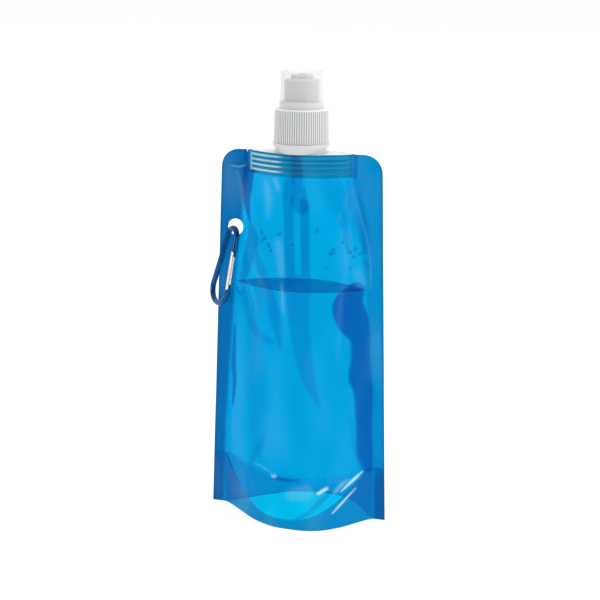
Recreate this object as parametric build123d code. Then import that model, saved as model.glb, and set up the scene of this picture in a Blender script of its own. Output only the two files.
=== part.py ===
from build123d import *
import os
from math import asin, cos, degrees, radians, sin

os.makedirs("parts", exist_ok=True)

# A folding water bottle: a stand-up film pouch with a screw cap and a carabiner.
# Millimetres. +Z is up, the front panel faces -Y, the pouch stands on z = 0.

# ---- Film pouch ----
FILM_HEIGHT = 230.0
BOTTOM_HALF_WIDTH = 57.5
TOP_HALF_WIDTH = 50.8
TOP_CORNER_RADIUS = 11.0
FILM_THICKNESS = 0.5
# Half the depth between the panels, and half the width of the open chamber, by height.
HALF_DEPTH_BY_HEIGHT = (
    (0, 34.0),
    (15, 33.0),
    (40, 30.0),
    (80, 26.5),
    (145, 20.0),
    (180, 16.5),
    (205, 15.0),
    (230, 14.6),
)
CHAMBER_HALF_BY_HEIGHT = (
    (0, 50.0),
    (60, 47.5),
    (150, 41.5),
    (180, 38.5),
    (202, 36.0),
    (215, 34.0),
    (230, 34.0),
)
SEAL_HALF_GAP = 0.12
SEAL_CLEARANCE = 0.02
SIDE_SOFTNESS = 0.12
BASE_BELL_HEIGHT = 60.0
BASE_BELL_POWER = 2.6
BASE_BELL_SHARPNESS = 1.5
BASE_BELL_SHIFT = 7.0
GRID_COLUMNS = 49
GRID_ROWS = 31
GRID_HALF_WIDTH = 60.0
GRID_OVERHANG = 4.0
CREASE_BOTTOM = 187.0
CREASE_TOP = 215.0
HOLE_X = -41.9
HOLE_Z = 181.3
HOLE_RADIUS = 5.2
NOTCH_X = -34.4
NOTCH_DEPTH = 2.2
NOTCH_WIDTH = 1.6

# ---- Bottom gusset ----
GUSSET_HALF_LENGTH = 45.0
GUSSET_RIDGE_Z = 20.0
GUSSET_SEAL_Z = 6.0
GUSSET_CORNER_Z = 33.0
GUSSET_SEAL_POWER = 2.4
GUSSET_GAP = 0.15
GUSSET_COLUMNS = 31
GUSSET_ROWS = 11

# ---- Spout fitment ----
CANOE_BOTTOM = 216.0
CANOE_TOP = 230.05
CANOE_HALF_LENGTH = 31.5
CANOE_CORE_INSET = 1.1
CANOE_RIB_INSET = 0.3
CANOE_RIB_COUNT = 5
CANOE_RIB_HEIGHT = 1.2
CANOE_RIB_PITCH = 2.5
CANOE_POINTS = 13
FLANGE_TOP = 233.4
FLANGE_RADIUS = 15.6
NECK_RADIUS = 13.6
BORE_RADIUS = 11.5
NECK_TOP = 254.0
BEAD_RADIUS = 14.25
BEAD_BOTTOM = 236.2
BEAD_TOP = 237.2
THREAD_PITCH = 4.0
THREAD_TURNS = 2.0
NECK_THREAD_START = 241.5
NECK_THREAD_RADIUS = 14.7
CAP_THREAD_RADIUS = 13.95
THREAD_ROOT_WIDTH = 1.5
THREAD_CREST_WIDTH = 0.8
THREAD_SINK = 0.3

# ---- Tamper band and screw cap ----
BAND_BOTTOM = 233.5
BAND_TOP = 235.9
BAND_INNER_RADIUS = 13.9
BAND_OUTER_RADIUS = 17.2
SKIRT_BOTTOM = 236.0
SKIRT_INNER_RADIUS = 15.1
SKIRT_BOTTOM_RADIUS = 16.4
SKIRT_TOP_RADIUS = 15.9
RIB_COUNT = 72
RIB_WIDTH = 0.7
RIB_HEIGHT = 0.45
ROOF_BOTTOM = 255.05
ROOF_TOP = 256.5
ROOF_EDGE = 0.8
COLLAR_TOP = 260.8
COLLAR_RADIUS = 13.0
COLLAR_BORE_RADIUS = 10.9
TUBE_RADIUS = 7.8
TUBE_BORE_RADIUS = 6.0
TUBE_TOP = 267.4
TUBE_BEAD_RADIUS = 8.4
TUBE_BEAD_BOTTOM = 265.6
POST_RADIUS = 2.0
POST_BOTTOM = 257.0
POST_TOP = 275.9
PLUG_RADIUS = 2.85
PLUG_BOTTOM = 274.2
SPOKE_COUNT = 3
SPOKE_SINK = 0.42
SPOKE_WIDTH = 1.4
SPOKE_TOP = 260.0
SEAL_INNER_RADIUS = 11.7
SEAL_OUTER_RADIUS = 14.8
SEAL_GAP = 0.05

# ---- Push-pull nozzle ----
NOZZLE_BOTTOM = 257.4
NOZZLE_RADIUS = 10.55
NOZZLE_SHOULDER = 273.2
NOZZLE_TOP = 276.8
NOZZLE_BORE_RADIUS = 8.7
NOZZLE_FOOT_BORE_RADIUS = 8.1
NOZZLE_FOOT_TOP = 258.8
NOZZLE_BORE_TOP = 270.6
MOUTH_OUTER_RADIUS = 6.8
MOUTH_CAVITY_RADIUS = 5.2
MOUTH_CAVITY_TOP = 274.0
MOUTH_RADIUS = 3.0

# ---- Clear dust cover ----
COVER_BOTTOM = 256.6
COVER_TOP = 280.0
COVER_BOTTOM_RADIUS = 14.35
COVER_FOOT_TOP = 260.9
COVER_SHOULDER = 261.9
COVER_TOP_RADIUS = 13.5
COVER_WALL = 0.8
COVER_EDGE_RADIUS = 1.6

# ---- Carabiner ----
WIRE_RADIUS = 1.8
RING_TOP_RADIUS = 5.2
RING_BOTTOM_RADIUS = 9.6
RING_LENGTH = 48.0
RING_TOP_POINT = (-43.4, 0.9, 180.0)
RING_TILT = 11.5
RING_YAW = 42.0
RING_LEAN = 6.0
GATE_PIVOT_DROP = 15.5
GATE_LENGTH = 22.0
GATE_TAIL = 1.9
GATE_TAIL_ROUNDING = 2.3
GATE_RADIUS = 1.75
SHOULDER_GAP = 2.7
NOSE_GAP = 0.4
TONGUE_THICKNESS = 1.2
TONGUE_HALF_WIDTH = 1.35
SLOT_THICKNESS = 1.5
PIVOT_SLOT_LENGTH = 2.2
NOSE_SLOT_LENGTH = 4.2
NOSE_TONGUE_LENGTH = 3.4
PIVOT_PIN_RADIUS = 0.6
NOSE_PIN_RADIUS = 0.5
NOSE_PIN_INSET = 1.6
NOTCH_CLEARANCE = 0.2
PIN_CLEARANCE = 0.04
PIN_LENGTH = 3.5
SPRING_BORE_RADIUS = 0.85
SPRING_BORE_LENGTH = 6.5
SPRING_COIL_RADIUS = 0.55
SPRING_WIRE_RADIUS = 0.14
SPRING_PITCH = 0.8
SPRING_START = 2.5
SPRING_LENGTH = 5.6


def smooth_through(stations, height):
    """Cubic curve through (height, value) stations, flat beyond both ends."""
    if height <= stations[0][0]:
        return stations[0][1]
    if height >= stations[-1][0]:
        return stations[-1][1]
    index = max(i for i in range(len(stations) - 1) if stations[i][0] <= height)
    slopes = []
    for end in (index, index + 1):
        before = stations[max(end - 1, 0)]
        after = stations[min(end + 1, len(stations) - 1)]
        slopes.append((after[1] - before[1]) / (after[0] - before[0]))
    start, stop = stations[index], stations[index + 1]
    span = stop[0] - start[0]
    u = (height - start[0]) / span
    rise = 3 * u**2 - 2 * u**3
    value = start[1] * (1 - rise) + stop[1] * rise
    return value + span * (slopes[0] * (u - 2 * u**2 + u**3) + slopes[1] * (u**3 - u**2))


def soft_ramp(value):
    """Zero below zero, the value itself above, with a rounded corner between."""
    if value <= -SIDE_SOFTNESS:
        return 0.0
    if value >= SIDE_SOFTNESS:
        return value
    return (value + SIDE_SOFTNESS) ** 2 / (4 * SIDE_SOFTNESS)


def half_depth(x, z):
    """Distance from the seal plane to the inside of a panel."""
    chamber = smooth_through(CHAMBER_HALF_BY_HEIGHT, z)
    across = x / chamber
    lens = soft_ramp(1 - across**2)
    swell = (x - BASE_BELL_SHIFT * max(0.0, 1 - across**2)) / chamber
    bell = max(0.0, 1 - abs(swell) ** BASE_BELL_POWER) ** BASE_BELL_SHARPNESS
    u = min(max(z / BASE_BELL_HEIGHT, 0.0), 1.0)
    lens_share = 3 * u**2 - 2 * u**3
    profile = lens_share * lens + (1 - lens_share) * bell
    return smooth_through(HALF_DEPTH_BY_HEIGHT, z) * profile


def spread(first, last, count):
    """Evenly spaced values from first to last."""
    return [first + (last - first) * i / (count - 1) for i in range(count)]


def pouch_outline(side):
    """Prism of the pouch outline on one side of the seal plane, with its hole and notch."""
    corners = [
        (-BOTTOM_HALF_WIDTH, 0),
        (BOTTOM_HALF_WIDTH, 0),
        (TOP_HALF_WIDTH, FILM_HEIGHT),
        (-TOP_HALF_WIDTH, FILM_HEIGHT),
    ]
    sheet = make_face(Polyline(*corners, close=True))
    top_corners = sheet.vertices().sort_by(Axis.Y)[-2:]
    sheet = fillet(top_corners, TOP_CORNER_RADIUS)
    sheet -= Pos(HOLE_X, HOLE_Z) * Circle(HOLE_RADIUS)
    sheet -= Pos(NOTCH_X, FILM_HEIGHT) * Rectangle(NOTCH_WIDTH, 2 * NOTCH_DEPTH)
    prism = extrude(Plane.XZ * sheet, GRID_HALF_WIDTH / 2, both=True)
    return Pos(0, side * (GRID_HALF_WIDTH / 2 + SEAL_CLEARANCE), 0) * prism


def film_panel(side):
    """One panel of film; side is -1 for the front and +1 for the back."""
    rows = []
    for z in spread(-GRID_OVERHANG, FILM_HEIGHT + GRID_OVERHANG, GRID_ROWS):
        columns = spread(-GRID_HALF_WIDTH, GRID_HALF_WIDTH, GRID_COLUMNS)
        rows.append([(x, side * (half_depth(x, z) + SEAL_HALF_GAP), z) for x in columns])
    inside = Face.make_surface_from_array_of_points(rows)
    return Solid.extrude(inside, Vector(0, side * FILM_THICKNESS, 0))


def height_band(bottom, top):
    """Block that keeps only what lies between two heights."""
    middle = (bottom + top) / 2
    return Pos(0, 0, middle) * Box(4 * GRID_HALF_WIDTH, 4 * GRID_HALF_WIDTH, top - bottom)


def panel_pieces(side):
    """Chamber, crease band and top of one panel."""
    panel = film_panel(side) & pouch_outline(side)
    below = -GRID_OVERHANG
    above = FILM_HEIGHT + GRID_OVERHANG
    limits = ((below, CREASE_BOTTOM), (CREASE_BOTTOM, CREASE_TOP), (CREASE_TOP, above))
    return [panel & height_band(bottom, top) for bottom, top in limits]


def gusset_seal_height(x):
    """Height of the curved weld between the gusset and a panel."""
    rise = (abs(x) / GUSSET_HALF_LENGTH) ** GUSSET_SEAL_POWER
    return GUSSET_SEAL_Z + (GUSSET_CORNER_Z - GUSSET_SEAL_Z) * rise


def bottom_gusset():
    """Base film that rises from the curved welds to a ridge along X."""
    rows = []
    for x in spread(-GUSSET_HALF_LENGTH, GUSSET_HALF_LENGTH, GUSSET_COLUMNS):
        seal = gusset_seal_height(x)
        ridge = GUSSET_RIDGE_Z + (GUSSET_CORNER_Z - GUSSET_RIDGE_Z) * (x / GUSSET_HALF_LENGTH) ** 2
        reach = half_depth(x, seal) - GUSSET_GAP
        row = []
        for across in spread(-1, 1, GUSSET_ROWS):
            row.append((x, reach * across, seal + (ridge - seal) * (1 - across**2)))
        rows.append(row)
    sheet = Face.make_surface_from_array_of_points(rows)
    return Solid.extrude(sheet, Vector(0, 0, -FILM_THICKNESS))


def ring(outer, inner, bottom, top):
    """Plain ring about the bottle axis."""
    return Pos(0, 0, bottom) * extrude(Circle(outer) - Circle(inner), top - bottom)


def lathe(points):
    """Solid of revolution about Z from (radius, height) points."""
    return revolve(Plane.XZ * make_face(Polyline(*points, close=True)), Axis.Z)


def thread(root, crest, start, inward):
    """Helical thread ridge; its section is sunk a little into the wall it stands on."""
    sink = THREAD_SINK if inward else -THREAD_SINK
    section = Polyline(
        (root + sink, -THREAD_ROOT_WIDTH / 2),
        (crest, -THREAD_CREST_WIDTH / 2),
        (crest, THREAD_CREST_WIDTH / 2),
        (root + sink, THREAD_ROOT_WIDTH / 2),
        close=True,
    )
    path = Helix(THREAD_PITCH, THREAD_PITCH * THREAD_TURNS, root)
    face = Plane.XZ * make_face(section)
    return Pos(0, 0, start) * sweep(face, path=path, is_frenet=True)


def canoe_slice(inset, bottom, top):
    """Boat-shaped slab that follows the inside of the two panels."""
    points = []
    for x in spread(-CANOE_HALF_LENGTH, CANOE_HALF_LENGTH, CANOE_POINTS):
        points.append((x, half_depth(x, FILM_HEIGHT) - inset))
    upper = Spline(*points)
    lower = mirror(upper, Plane.XZ)
    ends = [Line(upper @ 0, lower @ 0), Line(upper @ 1, lower @ 1)]
    face = make_face([upper, lower] + ends)
    return Pos(0, 0, bottom) * extrude(face, top - bottom)


def spout_fitment():
    """Welded boat base with ribs, flange, bored neck, band bead and thread."""
    body = canoe_slice(CANOE_CORE_INSET, CANOE_BOTTOM, CANOE_TOP)
    stack = (CANOE_RIB_COUNT - 1) * CANOE_RIB_PITCH + CANOE_RIB_HEIGHT
    first = (CANOE_BOTTOM + CANOE_TOP - stack) / 2
    for i in range(CANOE_RIB_COUNT):
        bottom = first + i * CANOE_RIB_PITCH
        body += canoe_slice(CANOE_RIB_INSET, bottom, bottom + CANOE_RIB_HEIGHT)
    body += ring(FLANGE_RADIUS, BORE_RADIUS, CANOE_TOP, FLANGE_TOP)
    body += ring(NECK_RADIUS, BORE_RADIUS, FLANGE_TOP, NECK_TOP)
    body += ring(BEAD_RADIUS, BORE_RADIUS, BEAD_BOTTOM, BEAD_TOP)
    body += thread(NECK_RADIUS, NECK_THREAD_RADIUS, NECK_THREAD_START, False)
    bore_height = NECK_TOP - CANOE_BOTTOM
    return body - Pos(0, 0, (NECK_TOP + CANOE_BOTTOM) / 2) * Cylinder(BORE_RADIUS, 2 * bore_height)


def screw_cap():
    """Ribbed cap with internal thread, collar, drinking tube, centre post and plug."""
    shell = lathe(
        (
            (SKIRT_INNER_RADIUS, SKIRT_BOTTOM),
            (SKIRT_BOTTOM_RADIUS, SKIRT_BOTTOM),
            (SKIRT_TOP_RADIUS, ROOF_TOP - ROOF_EDGE),
            (SKIRT_TOP_RADIUS - ROOF_EDGE, ROOF_TOP),
            (COLLAR_RADIUS, ROOF_TOP),
            (COLLAR_RADIUS, COLLAR_TOP),
            (COLLAR_BORE_RADIUS, COLLAR_TOP),
            (COLLAR_BORE_RADIUS, ROOF_TOP),
            (TUBE_RADIUS, ROOF_TOP),
            (TUBE_RADIUS, TUBE_BEAD_BOTTOM),
            (TUBE_BEAD_RADIUS, (TUBE_BEAD_BOTTOM + TUBE_TOP) / 2),
            (TUBE_RADIUS, TUBE_TOP),
            (TUBE_BORE_RADIUS, TUBE_TOP),
            (TUBE_BORE_RADIUS, ROOF_BOTTOM),
            (SKIRT_INNER_RADIUS, ROOF_BOTTOM),
        )
    )
    rib_height = ROOF_TOP - ROOF_EDGE - SKIRT_BOTTOM
    rib = Box(2 * RIB_HEIGHT, RIB_WIDTH, rib_height + 1, align=(Align.CENTER, Align.CENTER, Align.MIN))
    lean = degrees(asin((SKIRT_BOTTOM_RADIUS - SKIRT_TOP_RADIUS) / rib_height))
    rib = Pos(SKIRT_BOTTOM_RADIUS, 0, SKIRT_BOTTOM - 0.5) * Rot(0, -lean, 0) * rib
    rib &= height_band(SKIRT_BOTTOM, ROOF_TOP - ROOF_EDGE)
    ribs = [Rot(0, 0, 360 * i / RIB_COUNT) * rib for i in range(RIB_COUNT)]
    cap = shell + ribs
    cap += thread(SKIRT_INNER_RADIUS, CAP_THREAD_RADIUS, NECK_THREAD_START + THREAD_PITCH / 2, True)
    post = lathe(
        (
            (0, POST_BOTTOM),
            (POST_RADIUS, POST_BOTTOM),
            (POST_RADIUS, PLUG_BOTTOM - 1),
            (PLUG_RADIUS, PLUG_BOTTOM),
            (PLUG_RADIUS, POST_TOP),
            (0, POST_TOP),
        )
    )
    cap += post
    spoke_length = TUBE_BORE_RADIUS + SPOKE_SINK
    outward = (Align.MIN, Align.CENTER, Align.MIN)
    for i in range(SPOKE_COUNT):
        spoke = Box(spoke_length, SPOKE_WIDTH, SPOKE_TOP - POST_BOTTOM, align=outward)
        cap += Rot(0, 0, 360 * i / SPOKE_COUNT) * Pos(0, 0, POST_BOTTOM) * spoke
    return cap


def nozzle():
    """Sleeve that slides on the drinking tube and closes on the plug."""
    return lathe(
        (
            (NOZZLE_FOOT_BORE_RADIUS, NOZZLE_BOTTOM),
            (NOZZLE_RADIUS, NOZZLE_BOTTOM),
            (NOZZLE_RADIUS, NOZZLE_SHOULDER),
            (NOZZLE_RADIUS - 0.9, NOZZLE_SHOULDER + 0.9),
            (MOUTH_OUTER_RADIUS + 0.6, NOZZLE_SHOULDER + 0.9),
            (MOUTH_OUTER_RADIUS, NOZZLE_SHOULDER + 1.5),
            (MOUTH_OUTER_RADIUS, NOZZLE_TOP - 0.8),
            (MOUTH_OUTER_RADIUS - 0.8, NOZZLE_TOP),
            (MOUTH_RADIUS, NOZZLE_TOP),
            (MOUTH_RADIUS, MOUTH_CAVITY_TOP),
            (MOUTH_CAVITY_RADIUS, MOUTH_CAVITY_TOP - 0.6),
            (MOUTH_CAVITY_RADIUS, NOZZLE_BORE_TOP + 1.2),
            (NOZZLE_BORE_RADIUS, NOZZLE_BORE_TOP),
            (NOZZLE_BORE_RADIUS, NOZZLE_FOOT_TOP + 0.6),
            (NOZZLE_FOOT_BORE_RADIUS, NOZZLE_FOOT_TOP),
        )
    )


def dust_cover():
    """Clear cup over the nozzle, open at the bottom, with a wider foot round the collar."""
    solid = lathe(
        (
            (0, COVER_BOTTOM),
            (COVER_BOTTOM_RADIUS, COVER_BOTTOM),
            (COVER_BOTTOM_RADIUS, COVER_FOOT_TOP),
            (COVER_TOP_RADIUS, COVER_SHOULDER),
            (COVER_TOP_RADIUS, COVER_TOP),
            (0, COVER_TOP),
        )
    )
    solid = fillet(solid.edges().sort_by(Axis.Z)[-1:], COVER_EDGE_RADIUS)
    hollow = lathe(
        (
            (0, COVER_BOTTOM - 1),
            (COVER_BOTTOM_RADIUS - COVER_WALL, COVER_BOTTOM - 1),
            (COVER_BOTTOM_RADIUS - COVER_WALL, COVER_FOOT_TOP + 0.2),
            (COVER_TOP_RADIUS - COVER_WALL, COVER_SHOULDER + 0.2),
            (COVER_TOP_RADIUS - COVER_WALL, COVER_TOP - COVER_WALL),
            (0, COVER_TOP - COVER_WALL),
        )
    )
    return solid - hollow


def ring_plane():
    """Plane of the hanging carabiner: local Y runs up along it, local X across it."""
    tilt, yaw, lean = radians(RING_TILT), radians(RING_YAW), radians(RING_LEAN)
    up = Vector(sin(tilt) * cos(lean), sin(lean), cos(tilt) * cos(lean))
    level = Vector(cos(yaw), -sin(yaw), 0)
    across = (level - up * level.dot(up)).normalized()
    return Plane(origin=RING_TOP_POINT, x_dir=across, z_dir=across.cross(up))


class RingShape:
    """Pear-shaped centre line: a small arc above, a large arc below, straight legs."""

    def __init__(self):
        self.top_centre = Vector(0, -RING_TOP_RADIUS)
        self.bottom_centre = Vector(0, RING_BOTTOM_RADIUS - RING_LENGTH)
        apart = (self.top_centre - self.bottom_centre).length
        self.leg_angle = degrees(asin((RING_BOTTOM_RADIUS - RING_TOP_RADIUS) / apart))

    def point(self, centre, radius, angle):
        """Point on an arc at an angle in degrees from local X."""
        return centre + Vector(radius * cos(radians(angle)), radius * sin(radians(angle)))

    def right_leg(self):
        """Top and bottom of the leg that carries the gate."""
        top = self.point(self.top_centre, RING_TOP_RADIUS, self.leg_angle)
        bottom = self.point(self.bottom_centre, RING_BOTTOM_RADIUS, self.leg_angle)
        return top, bottom

    def gate_frame(self):
        """Local frame at the gate pivot: X runs down the leg towards the nose."""
        top, bottom = self.right_leg()
        along = (bottom - top).normalized()
        pivot = top + along * ((GATE_PIVOT_DROP + top.Y) / -along.Y)
        return Plane(origin=pivot, x_dir=along, z_dir=(0, 0, 1))

    def body_path(self):
        """Centre line from the pivot shoulder over the top and round to the nose."""
        top, bottom = self.right_leg()
        frame = self.gate_frame()
        shoulder = frame.from_local_coords(Vector(-SHOULDER_GAP, 0, 0))
        nose = frame.from_local_coords(Vector(GATE_LENGTH + NOSE_GAP, 0, 0))
        left_angle = 180 - self.leg_angle
        top_left = self.point(self.top_centre, RING_TOP_RADIUS, left_angle)
        bottom_left = self.point(self.bottom_centre, RING_BOTTOM_RADIUS, left_angle)
        top_middle = self.point(self.top_centre, RING_TOP_RADIUS, 90)
        bottom_middle = self.point(self.bottom_centre, RING_BOTTOM_RADIUS, 270)
        return Wire(
            [
                Edge.make_line(shoulder, top),
                Edge.make_three_point_arc(top, top_middle, top_left),
                Edge.make_line(top_left, bottom_left),
                Edge.make_three_point_arc(bottom_left, bottom_middle, bottom),
                Edge.make_line(bottom, nose),
            ]
        )


def tongue(start, stop, rounded_end):
    """Flat tongue along local X; the rounded end carries a pin."""
    bar = Pos((start + stop) / 2, 0, 0) * Box(abs(stop - start), 2 * TONGUE_HALF_WIDTH, TONGUE_THICKNESS)
    if rounded_end:
        bar += Pos(stop, 0, 0) * Cylinder(TONGUE_HALF_WIDTH, TONGUE_THICKNESS)
    return bar


def carabiner_body(shape):
    """Bent wire body with a pivot tongue above the gate and a notched nose below it."""
    path = shape.body_path()
    section = Plane(origin=path @ 0, z_dir=path % 0) * Circle(WIRE_RADIUS)
    frame = shape.gate_frame()
    pivot_tongue = tongue(-SHOULDER_GAP - 1, 0, True)
    pivot_tongue -= Cylinder(PIVOT_PIN_RADIUS, 2 * PIN_LENGTH)
    nose_tongue = tongue(GATE_LENGTH + NOSE_GAP + 1, GATE_LENGTH - NOSE_TONGUE_LENGTH, False)
    notch_radius = NOSE_PIN_RADIUS + NOTCH_CLEARANCE
    notch_x = GATE_LENGTH - NOSE_PIN_INSET
    notch = Pos(notch_x, 0, 0) * Cylinder(notch_radius, PIN_LENGTH)
    notch += Pos(notch_x, -WIRE_RADIUS, 0) * Box(2 * notch_radius, 2 * WIRE_RADIUS, PIN_LENGTH)
    nose_tongue -= notch
    body = sweep(section, path=path)
    for piece in (pivot_tongue, nose_tongue):
        body += frame * piece
    return body


def carabiner_gate(shape):
    """Round gate, slotted at both ends, with a bore for its spring."""
    length = GATE_LENGTH + GATE_TAIL
    bar = Pos((GATE_LENGTH - GATE_TAIL) / 2, 0, 0) * Rot(0, 90, 0) * Cylinder(GATE_RADIUS, length)
    tail = Pos(-GATE_TAIL_ROUNDING, 0, 0) * Box(2 * GATE_TAIL_ROUNDING, 9, 9)
    bar -= tail - Cylinder(GATE_TAIL_ROUNDING - 0.4, 9)
    for start, stop in ((-9, PIVOT_SLOT_LENGTH), (GATE_LENGTH - NOSE_SLOT_LENGTH, GATE_LENGTH + 9)):
        bar -= Pos((start + stop) / 2, 0, 0) * Box(stop - start, 9, SLOT_THICKNESS)
    bore_middle = PIVOT_SLOT_LENGTH + SPRING_BORE_LENGTH / 2
    bar -= Pos(bore_middle, 0, 0) * Rot(0, 90, 0) * Cylinder(SPRING_BORE_RADIUS, SPRING_BORE_LENGTH + 0.2)
    bar -= Cylinder(PIVOT_PIN_RADIUS + PIN_CLEARANCE, 9)
    bar -= Pos(GATE_LENGTH - NOSE_PIN_INSET, 0, 0) * Cylinder(NOSE_PIN_RADIUS, 9)
    return shape.gate_frame() * bar


def gate_spring(shape):
    """Small coil spring inside the gate, pushing on the pivot tongue."""
    path = Helix(SPRING_PITCH, SPRING_LENGTH, SPRING_COIL_RADIUS)
    section = Plane(origin=path @ 0, z_dir=path % 0) * Circle(SPRING_WIRE_RADIUS)
    coil = sweep(section, path=path, is_frenet=True)
    return shape.gate_frame() * (Pos(SPRING_START, 0, 0) * Rot(0, 90, 0) * coil)


def gate_pins(shape):
    """Pivot pin and nose pin, square to the plane of the carabiner."""
    pivot = Cylinder(PIVOT_PIN_RADIUS, PIN_LENGTH)
    nose = Pos(GATE_LENGTH - NOSE_PIN_INSET, 0, 0) * Cylinder(NOSE_PIN_RADIUS, PIN_LENGTH - 0.5)
    return [shape.gate_frame() * pin for pin in (pivot, nose)]


pieces = {}
for side, name in ((-1, "front_panel"), (1, "back_panel")):
    chamber, crease, top = panel_pieces(side)
    pieces[name + "_body"] = chamber
    pieces[name + "_crease"] = crease
    pieces[name + "_top"] = top
pieces["bottom_gusset"] = bottom_gusset()
pieces["spout_fitment"] = spout_fitment()
pieces["tamper_band"] = ring(BAND_OUTER_RADIUS, BAND_INNER_RADIUS, BAND_BOTTOM, BAND_TOP)
pieces["screw_cap"] = screw_cap()
pieces["cap_seal"] = ring(SEAL_OUTER_RADIUS, SEAL_INNER_RADIUS, NECK_TOP + SEAL_GAP, ROOF_BOTTOM - SEAL_GAP)
pieces["nozzle"] = nozzle()
pieces["dust_cover"] = dust_cover()

ring_shape = RingShape()
hanging = ring_plane().location
pivot_pin, nose_pin = gate_pins(ring_shape)
pieces["carabiner_body"] = hanging * carabiner_body(ring_shape)
pieces["carabiner_gate"] = hanging * carabiner_gate(ring_shape)
pieces["gate_pivot_pin"] = hanging * pivot_pin
pieces["gate_nose_pin"] = hanging * nose_pin
pieces["gate_spring"] = hanging * gate_spring(ring_shape)

for name, piece in pieces.items():
    export_step(piece, f"parts/{name}.step")
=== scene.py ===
"""Folding water bottle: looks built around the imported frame. Lengths in this script are in millimetres
until a mesh is made, where MM turns them into metres."""

import math

import bpy
from mathutils import Matrix, Vector, geometry, noise


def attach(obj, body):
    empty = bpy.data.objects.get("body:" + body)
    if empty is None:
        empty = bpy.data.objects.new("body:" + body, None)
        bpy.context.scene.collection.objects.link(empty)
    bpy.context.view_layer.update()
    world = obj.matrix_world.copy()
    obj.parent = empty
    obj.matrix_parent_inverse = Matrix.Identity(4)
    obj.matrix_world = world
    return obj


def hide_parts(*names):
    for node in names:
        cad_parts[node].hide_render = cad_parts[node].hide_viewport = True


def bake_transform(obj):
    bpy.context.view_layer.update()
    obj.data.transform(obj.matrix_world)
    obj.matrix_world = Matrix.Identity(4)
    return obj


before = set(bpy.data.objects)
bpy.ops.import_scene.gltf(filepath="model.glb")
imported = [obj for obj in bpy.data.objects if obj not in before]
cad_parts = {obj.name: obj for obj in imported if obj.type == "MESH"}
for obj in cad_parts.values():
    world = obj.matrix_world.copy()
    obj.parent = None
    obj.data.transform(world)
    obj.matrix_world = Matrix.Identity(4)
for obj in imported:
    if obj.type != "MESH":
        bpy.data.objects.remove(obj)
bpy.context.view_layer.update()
scene = bpy.context.scene

MM = 0.001

# ---- Pouch shape, the same stations as the CAD panels ----
FILM_HEIGHT = 230.0
BOTTOM_HALF_WIDTH = 57.5
TOP_HALF_WIDTH = 50.8
TOP_CORNER_RADIUS = 11.0
HALF_DEPTH_BY_HEIGHT = (
    (0, 34.0),
    (15, 33.0),
    (40, 30.0),
    (80, 26.5),
    (145, 20.0),
    (180, 16.5),
    (205, 15.0),
    (230, 14.6),
)
CHAMBER_HALF_BY_HEIGHT = (
    (0, 50.0),
    (60, 47.5),
    (150, 41.5),
    (180, 38.5),
    (202, 36.0),
    (215, 34.0),
    (230, 34.0),
)
SIDE_SOFTNESS = 0.12
BASE_BELL_HEIGHT = 60.0
BASE_BELL_POWER = 2.6
BASE_BELL_SHARPNESS = 1.5
BASE_BELL_SHIFT = 7.0
SEAL_HALF_GAP = 0.12
HOLE_X = -41.9
HOLE_Z = 181.3
HOLE_RADIUS = 5.2
NOTCH_X = -34.4
NOTCH_DEPTH = 2.2
NOTCH_HALF_WIDTH = 0.5
GUSSET_HALF_LENGTH = 47.0
GUSSET_RIDGE_Z = 20.0
GUSSET_SEAL_Z = 6.0
GUSSET_CORNER_Z = 34.0
GUSSET_SEAL_POWER = 2.4
WATER_LEVEL = 147.5


def smooth_through(stations, height):
    """Cubic curve through (height, value) stations, flat beyond both ends."""
    if height <= stations[0][0]:
        return stations[0][1]
    if height >= stations[-1][0]:
        return stations[-1][1]
    index = max(i for i in range(len(stations) - 1) if stations[i][0] <= height)
    slopes = []
    for end in (index, index + 1):
        before = stations[max(end - 1, 0)]
        after = stations[min(end + 1, len(stations) - 1)]
        slopes.append((after[1] - before[1]) / (after[0] - before[0]))
    start, stop = stations[index], stations[index + 1]
    span = stop[0] - start[0]
    u = (height - start[0]) / span
    rise = 3 * u**2 - 2 * u**3
    value = start[1] * (1 - rise) + stop[1] * rise
    return value + span * (slopes[0] * (u - 2 * u**2 + u**3) + slopes[1] * (u**3 - u**2))


def smooth_step(low, high, value):
    """0 below low, 1 above high, smooth between; low may be above high."""
    u = min(max((value - low) / (high - low), 0.0), 1.0)
    return 3 * u**2 - 2 * u**3


def soft_ramp(value):
    """Zero below zero, the value itself above, with a rounded corner between."""
    if value <= -SIDE_SOFTNESS:
        return 0.0
    if value >= SIDE_SOFTNESS:
        return value
    return (value + SIDE_SOFTNESS) ** 2 / (4 * SIDE_SOFTNESS)


def half_depth(x, z):
    """Distance from the seal plane to the inside of a panel."""
    chamber = smooth_through(CHAMBER_HALF_BY_HEIGHT, z)
    across = x / chamber
    lens = soft_ramp(1 - across**2)
    swell = (x - BASE_BELL_SHIFT * max(0.0, 1 - across**2)) / chamber
    bell = max(0.0, 1 - abs(swell) ** BASE_BELL_POWER) ** BASE_BELL_SHARPNESS
    lens_share = smooth_step(0.0, BASE_BELL_HEIGHT, z)
    profile = lens_share * lens + (1 - lens_share) * bell
    return smooth_through(HALF_DEPTH_BY_HEIGHT, z) * profile


def half_width(z):
    """Half the width of the film outline at a height, corners included."""
    straight = BOTTOM_HALF_WIDTH + (TOP_HALF_WIDTH - BOTTOM_HALF_WIDTH) * z / FILM_HEIGHT
    above = z - (FILM_HEIGHT - TOP_CORNER_RADIUS)
    if above <= 0:
        return straight
    return straight - TOP_CORNER_RADIUS + math.sqrt(max(0.0, TOP_CORNER_RADIUS**2 - above**2))


def gusset_seal_height(x):
    """Height of the curved weld between the gusset and a panel."""
    rise = min(abs(x) / GUSSET_HALF_LENGTH, 1.0) ** GUSSET_SEAL_POWER
    return GUSSET_SEAL_Z + (GUSSET_CORNER_Z - GUSSET_SEAL_Z) * rise


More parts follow.
